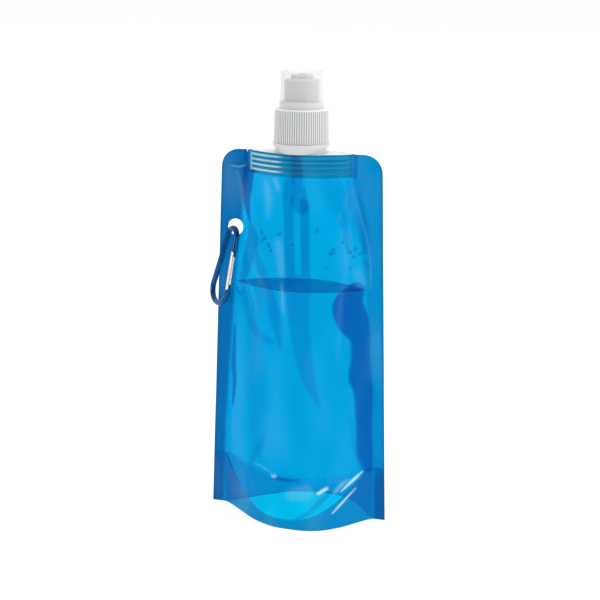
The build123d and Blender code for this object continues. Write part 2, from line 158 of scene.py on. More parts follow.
# ---- Folds of the film, with painted shade and painted highlights ----
# Each fold: relief in millimetres (out of the panel is positive), shade (above 0 painted shade,
# below 0 painted highlight), softness of its edge, and the points it runs through as x, z and half width.
FRONT_FOLDS = (
    # Left of the chamber, under the spout weld.
    (-0.6, 1.0, 0.8, ((-33, 217, 4.2), (-34, 208, 4.0), (-34, 198, 2.8), (-31, 186, 0.6))),
    (0.3, -0.08, 0.8, ((-41, 216, 0.8), (-38, 205, 1.4), (-37, 196, 1.2), (-34, 186, 0.6))),
    (-0.5, 0.50, 0.9, ((-31, 186, 0.6), (-28, 176, 4.6), (-31, 165, 4.2), (-35, 151, 3.0))),
    (-0.5, 0.38, 1.5, ((-26, 170, 1.4), (-19, 155, 3.2), (-12, 139, 3.8), (-8, 126, 3.2), (-5, 112, 0.8))),
    (-0.4, 0.30, 1.6, ((-38, 152, 1.0), (-32, 136, 2.6), (-27, 124, 3.0), (-19, 117, 2.6), (-9, 116, 0.8))),
    (0.25, -0.08, 0.5, ((-31, 161, 0.4), (-24, 156, 0.8), (-18, 147, 0.8), (-14, 137, 0.4))),
    (0.35, -0.14, 0.5, ((-34, 152, 0.4), (-28, 146, 0.8), (-24, 138, 0.8), (-21, 128, 0.4))),
    (-0.1, 0.14, 2.2, ((-22, 112, 5.0), (-20, 90, 7.0), (-20, 66, 7.0), (-19, 46, 4.0))),
    (-0.8, 0.85, 0.7, ((-42, 118, 0.8), (-42, 104, 1.6), (-42, 92, 2.2), (-41, 84, 1.8), (-42, 67, 0.7))),
    (-0.2, 0.50, 0.6, ((-41, 143, 0.8), (-38, 140, 1.2), (-35, 141, 1.6), (-34, 145, 0.8))),
    # Painted highlights.
    (0.1, -0.20, 2.4, ((-19, 212, 1.6), (-17, 203, 2.4), (-17, 192, 1.0))),
    (0.2, -0.28, 2.0, ((-12, 214, 1.6), (-10, 209, 1.2))),
    (0.2, -0.30, 1.6, ((-6, 152, 0.4), (-5, 145, 1.0), (-4, 134, 0.5))),
    (0.2, -0.20, 2.5, ((-9, 176, 2.5), (-6, 158, 2.5))),
    # Centre, under the weld.
    (-0.6, 0.50, 0.8, ((1, 228, 3.0), (2, 218, 3.6), (2, 208, 2.2), (1, 203, 3.0), (5, 199, 4.6))),
    # Right of the chamber.
    (0.2, -0.10, 0.5, ((31, 216, 0.5), (37, 196, 0.7), (43, 176, 0.7), (45, 160, 0.6), (45, 148, 0.4))),
    (-0.2, 0.36, 1.6, ((33, 213, 2.6), (35, 200, 4.2), (39, 186, 4.0), (42, 172, 1.8))),
    (-0.4, 0.16, 2.5, ((19, 213, 5.0), (25, 204, 6.0), (29, 190, 3.0))),
    (-0.15, 0.30, 1.0, ((28, 196, 1.2), (30, 184, 1.6), (33, 172, 1.0))),
    (0.1, -0.12, 2.0, ((37, 160, 2.0), (40, 152, 3.0))),
    # Dark patch standing in for the far seal seen bent through the water.
    (0.0, 1.0, 0.8, ((37, 148, 4.6), (33, 139, 8.0), (36, 129, 8.2), (40, 119, 5.6), (41, 108, 5.0),
                       (41, 94, 6.0), (43, 84, 5.0), (44, 62, 4.2), (45, 45, 4.0), (47, 33, 2.4))),
    # Base.
    (-0.5, 0.35, 0.7, ((9, 7, 0.8), (16, 11, 1.4), (22, 17, 1.8), (28, 23, 1.4))),
    (0.6, -0.90, 0.7, ((22, 23.5, 1.0), (26, 26, 1.2))),
    (0.4, -0.40, 1.6, ((31, 23, 0.8), (34, 27, 1.4), (37, 29, 0.6))),
    (0.8, -0.95, 0.5, ((34, 23, 0.3), (37, 26, 0.8), (41, 30, 0.9), (44, 33, 0.3))),
    (0.5, -0.80, 0.4, ((30, 10, 0.3), (35, 16, 0.6), (41, 23, 0.3))),
    (0.6, -0.60, 0.5, ((-7, 32, 1.2), (-5.5, 32.5, 1.2))),
    (-0.5, 0.85, 0.5, ((-4.5, 31, 1.2), (3, 31, 0.9), (10, 31, 0.5))),
    (0.3, -0.25, 0.5, ((-22, 37, 0.3), (-14, 36, 0.6), (-8, 33.5, 0.4))),
    (-0.4, 0.30, 1.0, ((-32, 33, 0.6), (-27, 24, 1.6), (-25, 15, 2.4))),
    (0.5, -0.18, 2.0, ((6, 22, 4.0), (14, 24, 5.0))),
)
BACK_FOLDS = (
    (-0.7, 0.55, 0.8, ((-10, 214, 2.0), (-12, 204, 3.2), (-12, 184, 2.9), (-12, 158, 3.2), (-12, 142, 3.4))),
    (-0.7, 0.55, 0.8, ((-3, 205, 1.6), (-2, 190, 2.8), (-2, 172, 2.8), (-2, 142, 2.8))),
    (-0.5, 0.38, 0.8, ((-7, 142, 8.0), (-7, 122, 6.8), (-5, 98, 5.6), (-1, 77, 4.0), (6, 60, 0.8))),
    (0.6, -0.20, 1.0, ((-32, 205, 1.4), (-29, 186, 1.8), (-27, 166, 1.0))),
    (-0.5, 0.15, 1.4, ((-30, 140, 2.6), (-34, 110, 3.4), (-37, 70, 2.0))),
    (0.6, -0.16, 1.2, ((33, 160, 1.0), (28, 130, 1.8), (22, 100, 1.0))),
    (-0.6, 0.25, 1.2, ((30, 58, 1.0), (33, 40, 2.2), (38, 22, 1.0))),
    (-0.5, 0.25, 1.2, ((-27, 44, 1.0), (-33, 30, 2.0), (-37, 20, 1.0))),
)
# Strips pressed flat beside and below the spout weld, with no relief: four of painted shade, one painted
# highlight.
WELD_STRIPS = (
    (0.0, 0.60, 0.5, ((-34, 229, 2.4), (-34, 218, 2.4))),
    (0.0, 0.50, 0.5, ((33.5, 229, 2.0), (33.5, 217, 2.0))),
    (0.0, 0.45, 0.4, ((-45, 221.5, 0.4), (-41, 221, 0.7), (-36, 222, 0.5))),
    (0.0, -0.25, 0.4, ((-45, 219.5, 0.3), (-40, 219, 0.5), (-36, 220, 0.4))),
    (0.0, 0.35, 0.4, ((-43, 217, 0.3), (-39, 217, 0.5), (-36, 217.5, 0.4))),
)
FOLD_SAMPLES = 6
WELD_HALF_LENGTH = 31.0
WELD_BOTTOM = 217.6
WELD_PITCH = 3.0
WELD_COUNT = 4
WELD_RELIEF = 0.55
WELD_END_WIDTH = 1.0
SEAL_LINE_WIDTH = 0.8
SEAL_LINE_RELIEF = 0.35
# Painted light: how much paler the right seal is drawn than the left.
RIGHT_SEAL_PAINTED_LIGHT = 0.5
WELD_DENSITY = 0.1
GROOVE_SHADE = 0.08
TONE_CHANGE = 0.12
BACK_SKIRT_SHARE = 0.5
FRONT_SKIRT_SHADE = 0.45
UNDULATION = 0.35
UNDULATION_SCALE = 22.0
SEAL_FLUTTER = 0.25


def sampled(points):
    """Points of a smooth curve through a fold's points (Catmull-Rom)."""
    result = []
    last = len(points) - 1
    for i in range(last):
        around = [points[max(i - 1, 0)], points[i], points[i + 1], points[min(i + 2, last)]]
        for k in range(FOLD_SAMPLES):
            u = k / FOLD_SAMPLES
            weights = (
                (-(u**3) + 2 * u**2 - u) / 2,
                (3 * u**3 - 5 * u**2 + 2) / 2,
                (-3 * u**3 + 4 * u**2 + u) / 2,
                (u**3 - u**2) / 2,
            )
            result.append(tuple(sum(w * p[n] for w, p in zip(weights, around)) for n in range(3)))
    result.append(tuple(float(value) for value in points[last]))
    return result


def prepared(folds):
    """Folds with their sampled curves and the box that each one reaches."""
    result = []
    for relief, shade, softness, points in folds:
        curve = sampled(points)
        reach = max(p[2] for p in curve) + softness
        xs = [p[0] for p in curve]
        zs = [p[1] for p in curve]
        box = (min(xs) - reach, max(xs) + reach, min(zs) - reach, max(zs) + reach)
        result.append((relief, shade, softness, curve, box))
    return result


PREPARED_FOLDS = {-1: prepared(FRONT_FOLDS + WELD_STRIPS), 1: prepared(BACK_FOLDS + WELD_STRIPS)}


def fold_cover(curve, softness, x, z):
    """1 in the middle of a fold, 0 outside it."""
    cover = 0.0
    for (x0, z0, half0), (x1, z1, half1) in zip(curve, curve[1:]):
        dx, dz = x1 - x0, z1 - z0
        along = ((x - x0) * dx + (z - z0) * dz) / (dx * dx + dz * dz)
        along = min(max(along, 0.0), 1.0)
        off = math.hypot(x - x0 - along * dx, z - z0 - along * dz)
        half = half0 + (half1 - half0) * along
        cover = max(cover, smooth_step(half + softness, half - softness, off))
    return cover


def folds_at(side, x, z):
    """Relief, painted shade and painted highlight of all the folds of a panel at a point."""
    relief, dark, pale = 0.0, 0.0, 0.0
    for height, shade, softness, curve, box in PREPARED_FOLDS[side]:
        if not (box[0] < x < box[1] and box[2] < z < box[3]):
            continue
        cover = fold_cover(curve, softness, x, z)
        relief += height * cover
        if shade > 0:
            dark = max(dark, shade * cover)
        else:
            pale = max(pale, -shade * cover)
    return relief, dark, pale


def weld_ridge(x, z):
    """Height share of the cross ridges over the spout weld, closed by a bar at each end."""
    rows = (z - WELD_BOTTOM) / WELD_PITCH
    if not 0 < rows < WELD_COUNT:
        return 0.0
    inside = smooth_step(WELD_HALF_LENGTH, WELD_HALF_LENGTH - 0.6, abs(x))
    ridge = math.sin(math.pi * (rows % 1.0)) ** 4
    bar = math.exp(-(((abs(x) - WELD_HALF_LENGTH) / WELD_END_WIDTH) ** 2))
    top_fade = smooth_step(0, 0.2, rows) * smooth_step(WELD_COUNT, WELD_COUNT - 0.2, rows)
    return max(ridge * inside, 0.6 * bar * top_fade)


def seal_line_relief(x, z):
    """Fine raised line along the curved gusset weld."""
    off = (z - gusset_seal_height(x)) / SEAL_LINE_WIDTH
    slope = 1.0 + abs(x) / 20.0
    if abs(off / slope) > 3 or abs(x) > GUSSET_HALF_LENGTH:
        return 0.0
    return SEAL_LINE_RELIEF * math.exp(-((off / slope) ** 2))


def chamber_share(x, z, inner=0.86, outer=1.04):
    """1 in the open chamber, 0 on the flat side seals."""
    across = abs(x) / smooth_through(CHAMBER_HALF_BY_HEIGHT, z)
    return smooth_step(outer, inner, across)


def film_depth(side, x, z):
    """Distance of a panel from the seal plane with its folds and ridges, and its flutter across the plane."""
    share = chamber_share(x, z) * smooth_step(0.0, 10.0, z)
    weld_free = smooth_step(WELD_BOTTOM + 1, WELD_BOTTOM - 8, z)
    wave = noise.noise(Vector((x, side * 40.0, z)) / UNDULATION_SCALE)
    relief = share * weld_free * (folds_at(side, x, z)[0] + UNDULATION * wave)
    relief += WELD_RELIEF * weld_ridge(x, z) + share * seal_line_relief(x, z)
    flutter = (1 - share) * SEAL_FLUTTER * noise.noise(Vector((x / 9.0, 3.0, z / 30.0)))
    return max(half_depth(x, z) + SEAL_HALF_GAP + relief, SEAL_HALF_GAP), flutter


# ---- Mesh helpers ----
def new_object(name, vertices, faces, smooth=True):
    """Mesh object from millimetre points."""
    mesh = bpy.data.meshes.new(name)
    mesh.from_pydata([Vector(v) * MM for v in vertices], [], faces)
    mesh.validate()
    if smooth:
        mesh.polygons.foreach_set("use_smooth", [True] * len(mesh.polygons))
    obj = bpy.data.objects.new(name, mesh)
    scene.collection.objects.link(obj)
    return obj


def spread(first, last, step):
    """Evenly spaced values from first to last, about one step apart."""
    count = max(1, round(abs(last - first) / step))
    return [first + (last - first) * i / count for i in range(count + 1)]


def outline_loop():
    """Points round the panel outline, anticlockwise from the bottom left."""
    loop = [(x, 0.0) for x in spread(-BOTTOM_HALF_WIDTH, BOTTOM_HALF_WIDTH, 1.6)]
    corner_start = FILM_HEIGHT - TOP_CORNER_RADIUS
    heights = spread(0.0, corner_start, 2.0)[1:]
    arc = [corner_start + TOP_CORNER_RADIUS * math.sin(math.radians(a)) for a in range(8, 90, 8)]
    heights += arc
    loop += [(half_width(z), z) for z in heights]
    top_end = half_width(FILM_HEIGHT)
    notch_right = NOTCH_X + NOTCH_HALF_WIDTH
    notch_left = NOTCH_X - NOTCH_HALF_WIDTH
    loop += [(x, FILM_HEIGHT) for x in spread(top_end, notch_right, 1.6)]
    loop += [(NOTCH_X, FILM_HEIGHT - NOTCH_DEPTH)]
    loop += [(x, FILM_HEIGHT) for x in spread(notch_left, -top_end, 1.6)]
    loop += [(-half_width(z), z) for z in reversed(heights)]
    return loop


HOLE_POINTS = 44
GRID_STEP = 1.05
WELD_GRID_STEP = 0.42
BOUNDARY_GAP = 0.45


def panel_points():
    """Outline, hole and inner points of a panel, with the edges that bound it."""
    outline = outline_loop()
    hole = []
    for i in range(HOLE_POINTS):
        angle = 2 * math.pi * i / HOLE_POINTS
        hole.append((HOLE_X + HOLE_RADIUS * math.cos(angle), HOLE_Z + HOLE_RADIUS * math.sin(angle)))
    edges = []
    start = 0
    for loop in (outline, hole):
        edges += [(start + i, start + (i + 1) % len(loop)) for i in range(len(loop))]
        start += len(loop)
    inner = []
    weld_top = WELD_BOTTOM + WELD_PITCH * WELD_COUNT
    heights = spread(GRID_STEP, WELD_BOTTOM - 0.5, GRID_STEP)
    heights += spread(WELD_BOTTOM, weld_top, WELD_GRID_STEP)
    heights += spread(weld_top + 0.4, FILM_HEIGHT - 0.5, 0.5)
    for z in heights:
        reach = half_width(z) - BOUNDARY_GAP
        for x in spread(-reach, reach, GRID_STEP):
            if math.hypot(x - HOLE_X, z - HOLE_Z) < HOLE_RADIUS + BOUNDARY_GAP:
                continue
            if abs(x - NOTCH_X) < NOTCH_HALF_WIDTH + 0.3 and z > FILM_HEIGHT - NOTCH_DEPTH - 0.5:
                continue
            inner.append((x, z))
    return outline + hole + inner, edges


def film_panel(name, side):
    """One panel of the pouch as a single sheet, with its zones as a vertex attribute."""
    points, edges = panel_points()
    flat = [Vector(p) for p in points]
    result = geometry.delaunay_2d_cdt(flat, edges, [], 1, 1e-5)
    plane_points, _, triangles = result[:3]
    faces = []
    for a, b, c in triangles:
        middle = (plane_points[a] + plane_points[b] + plane_points[c]) / 3
        if math.hypot(middle.x - HOLE_X, middle.y - HOLE_Z) > HOLE_RADIUS * 0.99:
            faces.append((a, b, c) if side < 0 else (c, b, a))
    vertices = []
    zones = []
    tone_and_painted_light = []
    for p in plane_points:
        depth, flutter = film_depth(side, p.x, p.y)
        vertices.append((p.x, side * depth + flutter, p.y))
        zones.append(zone_colour(side, p.x, p.y))
        tone_and_painted_light.append(tone_and_painted_light_colour(side, p.x, p.y))
    obj = new_object(name, vertices, faces)
    for attribute, colours in (("zones", zones), ("tone_and_painted_light", tone_and_painted_light)):
        layer = obj.data.color_attributes.new(attribute, "FLOAT_COLOR", "POINT")
        for i, colour in enumerate(colours):
            layer.data[i].color = colour
    return obj


def zone_colour(side, x, z):
    """Red: welded film, with painted light making the right seal paler; green: cut edge; blue: gusset weld
    skirt.
    """
    welded = 1.0 - chamber_share(x, z, 0.97, 1.05)
    # Painted light: the right seal is paler than the left, above the base.
    if x > 0:
        welded *= 1.0 - RIGHT_SEAL_PAINTED_LIGHT * smooth_step(20.0, 45.0, z)
    edge_gap = min(half_width(z) - abs(x), FILM_HEIGHT - z, z)
    edge_gap = min(edge_gap, math.hypot(x - HOLE_X, z - HOLE_Z) - HOLE_RADIUS)
    edge = smooth_step(1.1, 0.2, edge_gap)
    skirt = smooth_step(0.6, -0.6, z - gusset_seal_height(x)) * smooth_step(50.0, 48.0, abs(x))
    if side > 0:
        skirt *= BACK_SKIRT_SHARE
    weld = smooth_step(WELD_BOTTOM - 1.0, WELD_BOTTOM + 0.5, z)
    welded = max(welded, WELD_DENSITY * weld * smooth_step(WELD_HALF_LENGTH + 2, WELD_HALF_LENGTH, abs(x)))
    return (welded, edge, skirt, 1.0)


def tone_and_painted_light_colour(side, x, z):
    """Red: painted shade of folds, of the front below the gusset weld and of the grooves between the weld
    ridges; green: painted highlights of folds and of the ridge crests; both with a random tone added.
    """
    _, dark, pale = folds_at(side, x, z)
    crest = weld_ridge(x, z)
    if side < 0:
        # Painted highlight on the weld ridge crests of the front panel, much stronger on the left.
        pale = max(pale, crest * (0.12 + 0.85 * smooth_step(-5.0, -12.0, x)))
        # Painted shade on the front panel below the gusset weld.
        dark = max(dark, FRONT_SKIRT_SHADE * smooth_step(0.6, -0.6, z - gusset_seal_height(x)))
    # Painted shade in the grooves between the weld ridges.
    if abs(x) < WELD_HALF_LENGTH:
        dark = max(dark, GROOVE_SHADE * (1 - crest) * smooth_step(0.0, 1.0, z - WELD_BOTTOM))
    tone = noise.noise(Vector((x / 14.0, side * 9.0, z / 38.0)))
    dark = max(dark, 0.0) + TONE_CHANGE * max(tone, 0.0)
    pale = max(pale, 0.0) + TONE_CHANGE * max(-tone, 0.0)
    return (min(dark, 1.0), min(pale, 1.0), 0.0, 1.0)


def gusset_film():
    """Base film: rises from both curved welds to a ridge, and runs down inside them to the foot."""
    vertices = []
    columns = spread(-GUSSET_HALF_LENGTH, GUSSET_HALF_LENGTH, 1.5)
    across_steps = 28
    skirt_steps = 6
    row_length = across_steps + 1 + 2 * skirt_steps
    inset = 0.35
    for x in columns:
        seal = gusset_seal_height(x)
        ridge = GUSSET_RIDGE_Z + (GUSSET_CORNER_Z - GUSSET_RIDGE_Z) * (x / GUSSET_HALF_LENGTH) ** 2
        for i in range(skirt_steps):
            z = seal * i / skirt_steps
            vertices.append((x, -film_depth(-1, x, z)[0] + inset, z))
        reach_front = film_depth(-1, x, seal)[0] - inset
        reach_back = film_depth(1, x, seal)[0] - inset
        for i in range(across_steps + 1):
            s = 2 * i / across_steps - 1
            y = s * (reach_front if s < 0 else reach_back)
            lift = (1 - abs(s) ** 1.7) * (ridge - seal)
            wrinkle = 0.9 * (1 - s * s) * noise.noise(Vector((x / 9.0, y / 14.0, 5.0)))
            vertices.append((x, y, seal + lift + wrinkle))
        for i in range(skirt_steps):
            z = seal * (skirt_steps - 1 - i) / skirt_steps
            vertices.append((x, film_depth(1, x, z)[0] - inset, z))
    faces = []
    for c in range(len(columns) - 1):
        for r in range(row_length - 1):
            a = c * row_length + r
            faces.append((a, a + 1, a + row_length + 1, a + row_length))
    return new_object("gusset_film", vertices, faces)


# ---- Water and drops ----
WATER_GAP = 0.6
WATER_RINGS = 64
WATER_AROUND = 120
MENISCUS = 0.9


def water_ring(z, inset=WATER_GAP):
    """Points of the water's outline at a height, just inside the panels."""
    reach = smooth_through(CHAMBER_HALF_BY_HEIGHT, z) * 0.985
    if z < GUSSET_CORNER_Z:
        share = (z - GUSSET_SEAL_Z) / (GUSSET_CORNER_Z - GUSSET_SEAL_Z)
        reach = min(reach, GUSSET_HALF_LENGTH * max(share, 0.01) ** (1 / GUSSET_SEAL_POWER) - 0.5)
    ring = []
    for i in range(WATER_AROUND):
        angle = 2 * math.pi * i / WATER_AROUND
        x = reach * math.cos(angle)
        side = math.copysign(1.0, math.sin(angle))
        depth = max(film_depth(side, x, z)[0] - inset, 0.1) if abs(math.sin(angle)) > 1e-6 else 0.0
        end = smooth_step(1.0, 0.95, abs(math.cos(angle)))
        ring.append((x, side * depth * end, z))
    return ring


def water_body():
    """Water from the gusset to the water line, as the open skin that lies on the film."""
    foot = GUSSET_SEAL_Z + 1.5
    heights = [foot + (WATER_LEVEL - foot) * i / WATER_RINGS for i in range(WATER_RINGS + 1)]
    vertices = []
    for z in heights:
        vertices += water_ring(z)
    faces = []
    for row in range(WATER_RINGS):
        start = row * WATER_AROUND
        for i in range(WATER_AROUND):
            j = (i + 1) % WATER_AROUND
            faces.append((start + i, start + j, start + WATER_AROUND + j, start + WATER_AROUND + i))
    return new_object("water", vertices, faces)


def water_surface():
    """Level top of the water, with a meniscus that climbs the film."""
    rim = water_ring(WATER_LEVEL)
    rows = ((1.0, 0.0), (0.985, -0.35), (0.96, -0.65), (0.9, -MENISCUS), (0.5, -MENISCUS), (0.05, -MENISCUS))
    vertices = []
    for shrink, drop in rows:
        vertices += [(x * (1 - (1 - shrink) * 0.5), y * shrink, z + drop) for x, y, z in rim]
    faces = []
    for row in range(len(rows) - 1):
        start = row * WATER_AROUND
        for i in range(WATER_AROUND):
            j = (i + 1) % WATER_AROUND
            faces.append((start + i, start + j, start + WATER_AROUND + j, start + WATER_AROUND + i))
    faces.append(tuple(range((len(rows) - 1) * WATER_AROUND, len(rows) * WATER_AROUND)))
    return new_object("water_surface", vertices, faces)


# Drops on the inside of a panel: x, z and radius.
FRONT_DROPS = (
    (-21, 181, 1.3),
    (-19, 178, 1.7),
    (-21, 176, 1.0),
    (-16, 174, 1.8),
    (-14, 171, 1.2),
    (24, 172, 1.9),
    (21, 162, 1.1),
    (29, 177, 0.8),
    (33, 171, 1.2),
    (36, 173, 1.4),
    (35, 168, 1.1),
    (39, 170, 1.5),
    (41, 165, 1.0),
    (43, 163, 1.3),
    (-3, 181, 0.7),
    (12, 156, 0.8),
    (-10, 160, 0.6),
)
BACK_DROPS = ((-18, 176, 1.4), (-10, 169, 1.0), (6, 179, 1.6), (15, 165, 1.1), (24, 174, 0.9), (30, 158, 1.2))
DROP_AROUND = 20
DROP_ROWS = 6
DROP_FLATNESS = 0.5


def drops():
    """Flattened domes of water that hang on the inside of the film."""
    vertices, faces = [], []
    for side, places in ((-1, FRONT_DROPS), (1, BACK_DROPS)):
        for x, z, radius in places:
            start = len(vertices)
            for row in range(DROP_ROWS):
                tilt = math.pi / 2 * row / DROP_ROWS
                for i in range(DROP_AROUND):
                    angle = 2 * math.pi * i / DROP_AROUND
                    lobe = 1 + 0.12 * math.sin(2 * angle + x) + 0.08 * math.cos(3 * angle + z)
                    px = x + radius * lobe * math.cos(tilt) * math.cos(angle)
                    pz = z + radius * lobe * math.cos(tilt) * math.sin(angle)
                    depth = film_depth(side, px, pz)[0] - 0.05 - DROP_FLATNESS * radius * math.sin(tilt)
                    vertices.append((px, side * depth, pz))
            for row in range(DROP_ROWS - 1):
                for i in range(DROP_AROUND):
                    a = start + row * DROP_AROUND + i
                    b = start + row * DROP_AROUND + (i + 1) % DROP_AROUND
                    faces.append((a, b, b + DROP_AROUND, a + DROP_AROUND))
            top = start + (DROP_ROWS - 1) * DROP_AROUND
            faces.append(tuple(range(top, top + DROP_AROUND)))
    return new_object("drops", vertices, faces)


# ---- Materials ----
def material(name):
    """Empty node material: returns the material, its nodes, its links and its output."""
    mat = bpy.data.materials.new(name)
    mat.use_nodes = True
    tree = mat.node_tree
    tree.nodes.clear()
    out = tree.nodes.new("ShaderNodeOutputMaterial")
    return mat, tree.nodes, tree.links, out


def add(nodes, kind, **values):
    """New shader node; values are its inputs by name, with _ for a space."""
    node = nodes.new("ShaderNode" + kind)
    for key, value in values.items():
        node.inputs[key.replace("_", " ")].default_value = value
    return node


def mix_colour(nodes, links, factor, low, high):
    """Colour mix of two fixed colours by a linked factor."""
    node = nodes.new("ShaderNodeMix")
    node.data_type = "RGBA"
    node.inputs["A"].default_value = (*low, 1)
    node.inputs["B"].default_value = (*high, 1)
    links.new(factor, node.inputs["Factor"])
    return node.outputs["Result"]


def mix_over(nodes, links, factor, below, colour):
    """Fixed colour laid over a linked colour by a linked factor."""
    node = nodes.new("ShaderNodeMix")
    node.data_type = "RGBA"
    node.inputs["B"].default_value = (*colour, 1)
    links.new(below, node.inputs["A"])
    links.new(factor, node.inputs["Factor"])
    return node.outputs["Result"]


def math_node(nodes, links, operation, a, b):
    """Math node whose inputs are sockets or numbers."""
    node = nodes.new("ShaderNodeMath")
    node.operation = operation
    for socket, value in zip(node.inputs, (a, b)):
        if isinstance(value, (int, float)):
            socket.default_value = value
        else:
            links.new(value, socket)
    return node.outputs[0]


def bump(nodes, links, scale, strength, distance, detail=3.0, stretch=(1, 1, 1)):
    """Noise bump in object coordinates; returns its normal output and the noise factor."""
    place = nodes.new("ShaderNodeTexCoord")
    mapping = add(nodes, "Mapping", Scale=stretch)
    links.new(place.outputs["Object"], mapping.inputs["Vector"])
    grain = add(nodes, "TexNoise", Scale=scale, Detail=detail)
    links.new(mapping.outputs["Vector"], grain.inputs["Vector"])
    node = add(nodes, "Bump", Strength=strength, Distance=distance)
    links.new(grain.outputs["Fac"], node.inputs["Height"])
    return node.outputs["Normal"], grain.outputs["Fac"]


FILM_TINT = (0.0, 0.635, 0.89)
SEAL_TINT = (0.0, 0.53, 0.85)
# DARK_TINT and DARK_COLOUR carry painted shade, PALE_TINT and PALE_COLOUR painted highlights, each with a
# random tone.
DARK_TINT = (0.0, 0.25, 0.62)
PALE_TINT = (0.12, 0.86, 1.0)
FILM_COLOUR = (0.0, 0.33, 0.63)
SEAL_COLOUR = (0.0, 0.15, 0.40)
DARK_COLOUR = (0.0, 0.10, 0.34)
PALE_COLOUR = (0.72, 1.0, 1.0)
EDGE_COLOUR = (0.0, 0.13, 0.36)
FILM_SPECULAR = 0.1
# Paler than the film's tint: painted light on the gusset, standing in for light from the floor.
GUSSET_PAINTED_LIGHT_TINT = (0.45, 0.96, 1.0)


def film_material(name):
    """Clear blue laminate: tinted see-through film under a glossy blue skin, denser in the welds, with
    painted shade and painted highlights laid over it.
    """
    mat, nodes, links, out = material(name)
    zones = nodes.new("ShaderNodeAttribute")
    zones.attribute_name = "zones"
    tone_and_painted_light = nodes.new("ShaderNodeAttribute")
    tone_and_painted_light.attribute_name = "tone_and_painted_light"
    split = nodes.new("ShaderNodeSeparateColor")
    links.new(zones.outputs["Color"], split.inputs["Color"])
    welded, edge, skirt = split.outputs
    split_marks = nodes.new("ShaderNodeSeparateColor")
    links.new(tone_and_painted_light.outputs["Color"], split_marks.inputs["Color"])
    dark, pale, _ = split_marks.outputs
    dense = math_node(nodes, links, "MAXIMUM", welded, math_node(nodes, links, "MULTIPLY", skirt, 0.85))
    normal, grain = bump(nodes, links, 260.0, 0.08, 0.0003)
    tint = mix_colour(nodes, links, dense, FILM_TINT, SEAL_TINT)
    # Painted shade, then painted highlights, over the tint and the skin.
    tint = mix_over(nodes, links, dark, tint, DARK_TINT)
    tint = mix_over(nodes, links, pale, tint, PALE_TINT)
    skin = mix_colour(nodes, links, dense, FILM_COLOUR, SEAL_COLOUR)
    skin = mix_over(nodes, links, dark, skin, DARK_COLOUR)
    skin = mix_over(nodes, links, pale, skin, PALE_COLOUR)
    skin = mix_over(nodes, links, edge, skin, EDGE_COLOUR)
    glossy = add(nodes, "BsdfPrincipled", Roughness=0.12, IOR=1.5)
    glossy.inputs["Specular IOR Level"].default_value = FILM_SPECULAR
    links.new(skin, glossy.inputs["Base Color"])
    links.new(normal, glossy.inputs["Normal"])
    rough = math_node(nodes, links, "MULTIPLY", grain, 0.14)
    links.new(math_node(nodes, links, "ADD", rough, 0.05), glossy.inputs["Roughness"])
    clear = nodes.new("ShaderNodeBsdfTransparent")
    links.new(tint, clear.inputs["Color"])
    cover = math_node(nodes, links, "MULTIPLY", dense, 0.28)
    cover = math_node(nodes, links, "ADD", cover, 0.18)
    # Painted highlights and painted shade also thicken the skin.
    for zone, amount in ((edge, 0.30), (pale, 0.66), (dark, 0.14)):
        cover = math_node(nodes, links, "ADD", cover, math_node(nodes, links, "MULTIPLY", zone, amount))
    cover = math_node(nodes, links, "MINIMUM", cover, 0.9)
    mix = nodes.new("ShaderNodeMixShader")
    links.new(cover, mix.inputs["Fac"])
    links.new(clear.outputs[0], mix.inputs[1])
    links.new(glossy.outputs[0], mix.inputs[2])
    links.new(mix.outputs[0], out.inputs["Surface"])
    return mat


def sheer_material(name, tint, colour, cover, specular):
    """See-through layer: a tint under a thin glossy skin that thickens at grazing angles."""
    mat, nodes, links, out = material(name)
    normal, grain = bump(nodes, links, 180.0, 0.10, 0.0004)
    glossy = add(nodes, "BsdfPrincipled", Roughness=0.08, IOR=1.4)
    glossy.inputs["Specular IOR Level"].default_value = specular
    shade = mix_colour(nodes, links, grain, [c * 0.9 for c in colour], colour)
    links.new(shade, glossy.inputs["Base Color"])
    links.new(normal, glossy.inputs["Normal"])
    clear = nodes.new("ShaderNodeBsdfTransparent")
    clear.inputs["Color"].default_value = (*tint, 1)
    facing = add(nodes, "LayerWeight", Blend=0.35)
    share = math_node(nodes, links, "MULTIPLY", facing.outputs["Facing"], 1.2 * cover)
    share = math_node(nodes, links, "ADD", share, 0.6 * cover)
    mix = nodes.new("ShaderNodeMixShader")
    links.new(share, mix.inputs["Fac"])
    links.new(clear.outputs[0], mix.inputs[1])
    links.new(glossy.outputs[0], mix.inputs[2])
    links.new(mix.outputs[0], out.inputs["Surface"])
    return mat


def plastic_material(name, colour, roughness, grain_scale, strength, subsurface):
    """Moulded white plastic: slight cloudiness, fine texture and uneven gloss."""
    mat, nodes, links, out = material(name)
    normal, grain = bump(nodes, links, grain_scale, strength, 0.0002)
    body = add(nodes, "BsdfPrincipled", Roughness=roughness, IOR=1.5)
    body.inputs["Subsurface Weight"].default_value = subsurface
    body.inputs["Subsurface Radius"].default_value = (0.002, 0.002, 0.002)
    shade = mix_colour(nodes, links, grain, [c * 0.96 for c in colour], colour)
    links.new(shade, body.inputs["Base Color"])
    links.new(normal, body.inputs["Normal"])
    links.new(body.outputs[0], out.inputs["Surface"])
    return mat


SKIRT_BOTTOM = 236.0
SKIRT_HEIGHT = 19.7
SKIRT_BOTTOM_RADIUS = 16.4
SKIRT_TAPER = 0.5
RIB_HEIGHT = 0.45


